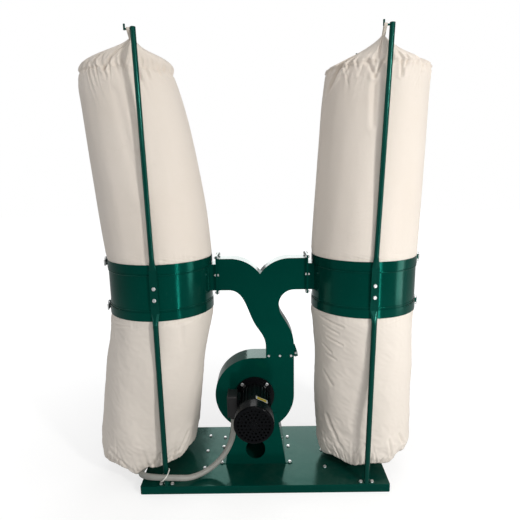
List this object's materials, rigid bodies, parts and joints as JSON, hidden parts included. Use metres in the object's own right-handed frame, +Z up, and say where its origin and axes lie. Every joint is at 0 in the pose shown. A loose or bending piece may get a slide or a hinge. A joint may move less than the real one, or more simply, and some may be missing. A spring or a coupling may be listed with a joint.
{
  "type": "dust collector",
  "caption": "Woodworking dust collector: a motor blower feeds a forked duct to twin drums, each with a cloth filter bag above and a cloth dust bag below, on one base.",
  "frame": {"origin": "on the floor under the middle of the base", "axes": "+Z up, +X to the right as seen from the motor side, +Y away from the motor towards the hose inlets"},
  "size_m": [1.6209, 0.703, 2.096],
  "materials": {
    "green_paint": "gloss bottle green enamel",
    "zinc_steel": "bright zinc plate",
    "filter_cloth": "cream woven filter cloth",
    "black_casting": "satin black paint over cast aluminium",
    "black_cowl": "satin black paint on pressed sheet",
    "black_plastic": "satin black plastic",
    "brass_plate": "yellow blank plate with a bright border",
    "bearing_steel": "ground steel",
    "core_steel": "plain laminated steel",
    "grey_paint": "grey primer",
    "grey_plastic": "light grey moulding",
    "green_button": "gloss green",
    "red_button": "gloss red",
    "conduit_plastic": "ribbed grey plastic",
    "tie_nylon": "natural nylon"
  },
  "bodies": {
    "root": {"bag_loops": "filter_cloth", "bag_rods_left": "green_paint", "bag_rods_right": "green_paint", "base_bolts": "zinc_steel", "base_tray": "green_paint", "cable_tie": "tie_nylon", "drive_end_shield": "black_casting", "drum_bolts": "zinc_steel", "drum_left": "green_paint", "drum_right": "green_paint", "duct_bolts": "zinc_steel", "dust_bag_left": "filter_cloth", "dust_bag_right": "filter_cloth", "fan_cowl": "black_cowl", "fan_end_shield": "black_casting", "filter_bag_left": "filter_cloth", "filter_bag_right": "filter_cloth", "hoop_lower_left": "green_paint", "hoop_lower_right": "green_paint", "hoop_upper_left": "green_paint", "hoop_upper_right": "green_paint", "housing_back_plate": "green_paint", "housing_front_plate": "green_paint", "housing_scroll": "green_paint", "inlet_bolts": "zinc_steel", "inlet_manifold": "green_paint", "legs_left": "green_paint", "legs_right": "green_paint", "motor_bearings": "bearing_steel", "motor_bolts": "zinc_steel", "motor_conduit": "conduit_plastic", "motor_gland": "black_plastic", "nameplate": "brass_plate", "pedestal": "green_paint", "starter_box": "grey_plastic", "starter_bracket": "zinc_steel", "starter_glands": "black_plastic", "starter_lid": "grey_plastic", "stator_core": "core_steel", "stator_housing": "black_casting", "terminal_box": "black_plastic", "terminal_box_lid": "black_plastic", "y_duct": "green_paint"},
    "rotor": {"motor_shaft": "bearing_steel", "motor_rotor": "core_steel", "cooling_fan": "black_plastic", "impeller_wheel": "grey_paint", "impeller_hub": "grey_paint", "impeller_bolt": "zinc_steel"},
    "lever_upper_left": {"latch_lever_upper_left": "zinc_steel"},
    "bail_upper_left": {"latch_bail_upper_left": "zinc_steel"},
    "lever_upper_right": {"latch_lever_upper_right": "zinc_steel"},
    "bail_upper_right": {"latch_bail_upper_right": "zinc_steel"},
    "lever_lower_left": {"latch_lever_lower_left": "zinc_steel"},
    "bail_lower_left": {"latch_bail_lower_left": "zinc_steel"},
    "lever_lower_right": {"latch_lever_lower_right": "zinc_steel"},
    "bail_lower_right": {"latch_bail_lower_right": "zinc_steel"},
    "start_button": {"start_button": "green_button"},
    "stop_button": {"stop_button": "red_button"}
  },
  "joints": [
    {"name": "rotor_spin", "type": "hinge", "parent": "root", "child": "rotor", "pos_m": [-0.046, 0, 0.4], "axis": [0, 1, 0], "continuous": true},
    {"name": "lever_upper_left_swing", "type": "hinge", "parent": "root", "child": "lever_upper_left", "pos_m": [-0.753, -0.02, 1.104], "axis": [0, 0, -1], "range_deg": [0, 110]},
    {"name": "bail_upper_left_swing", "type": "hinge", "parent": "lever_upper_left", "child": "bail_upper_left", "pos_m": [-0.757, -0.036, 1.104], "axis": [0, 0, -1], "range_deg": [-110, 0]},
    {"name": "lever_upper_right_swing", "type": "hinge", "parent": "root", "child": "lever_upper_right", "pos_m": [0.753, 0.02, 1.104], "axis": [0, 0, -1], "range_deg": [0, 110]},
    {"name": "bail_upper_right_swing", "type": "hinge", "parent": "lever_upper_right", "child": "bail_upper_right", "pos_m": [0.757, 0.036, 1.104], "axis": [0, 0, -1], "range_deg": [-110, 0]},
    {"name": "lever_lower_left_swing", "type": "hinge", "parent": "root", "child": "lever_lower_left", "pos_m": [-0.753, -0.02, 0.886], "axis": [0, 0, -1], "range_deg": [0, 110]},
    {"name": "bail_lower_left_swing", "type": "hinge", "parent": "lever_lower_left", "child": "bail_lower_left", "pos_m": [-0.757, -0.036, 0.886], "axis": [0, 0, -1], "range_deg": [-110, 0]},
    {"name": "lever_lower_right_swing", "type": "hinge", "parent": "root", "child": "lever_lower_right", "pos_m": [0.753, 0.02, 0.886], "axis": [0, 0, -1], "range_deg": [0, 110]},
    {"name": "bail_lower_right_swing", "type": "hinge", "parent": "lever_lower_right", "child": "bail_lower_right", "pos_m": [0.757, 0.036, 0.886], "axis": [0, 0, -1], "range_deg": [-110, 0]},
    {"name": "start_push", "type": "slide", "parent": "root", "child": "start_button", "axis": [0, -1, 0], "range_m": [0, 0.004], "stiffness_N_per_m": 300},
    {"name": "stop_push", "type": "slide", "parent": "root", "child": "stop_button", "axis": [0, -1, 0], "range_m": [0, 0.004], "stiffness_N_per_m": 300}
  ],
  "couplings": [
    {"joint": "bail_upper_left_swing", "follows": "lever_upper_left_swing", "ratio": -1},
    {"joint": "bail_upper_right_swing", "follows": "lever_upper_right_swing", "ratio": -1},
    {"joint": "bail_lower_left_swing", "follows": "lever_lower_left_swing", "ratio": -1},
    {"joint": "bail_lower_right_swing", "follows": "lever_lower_right_swing", "ratio": -1}
  ]
}
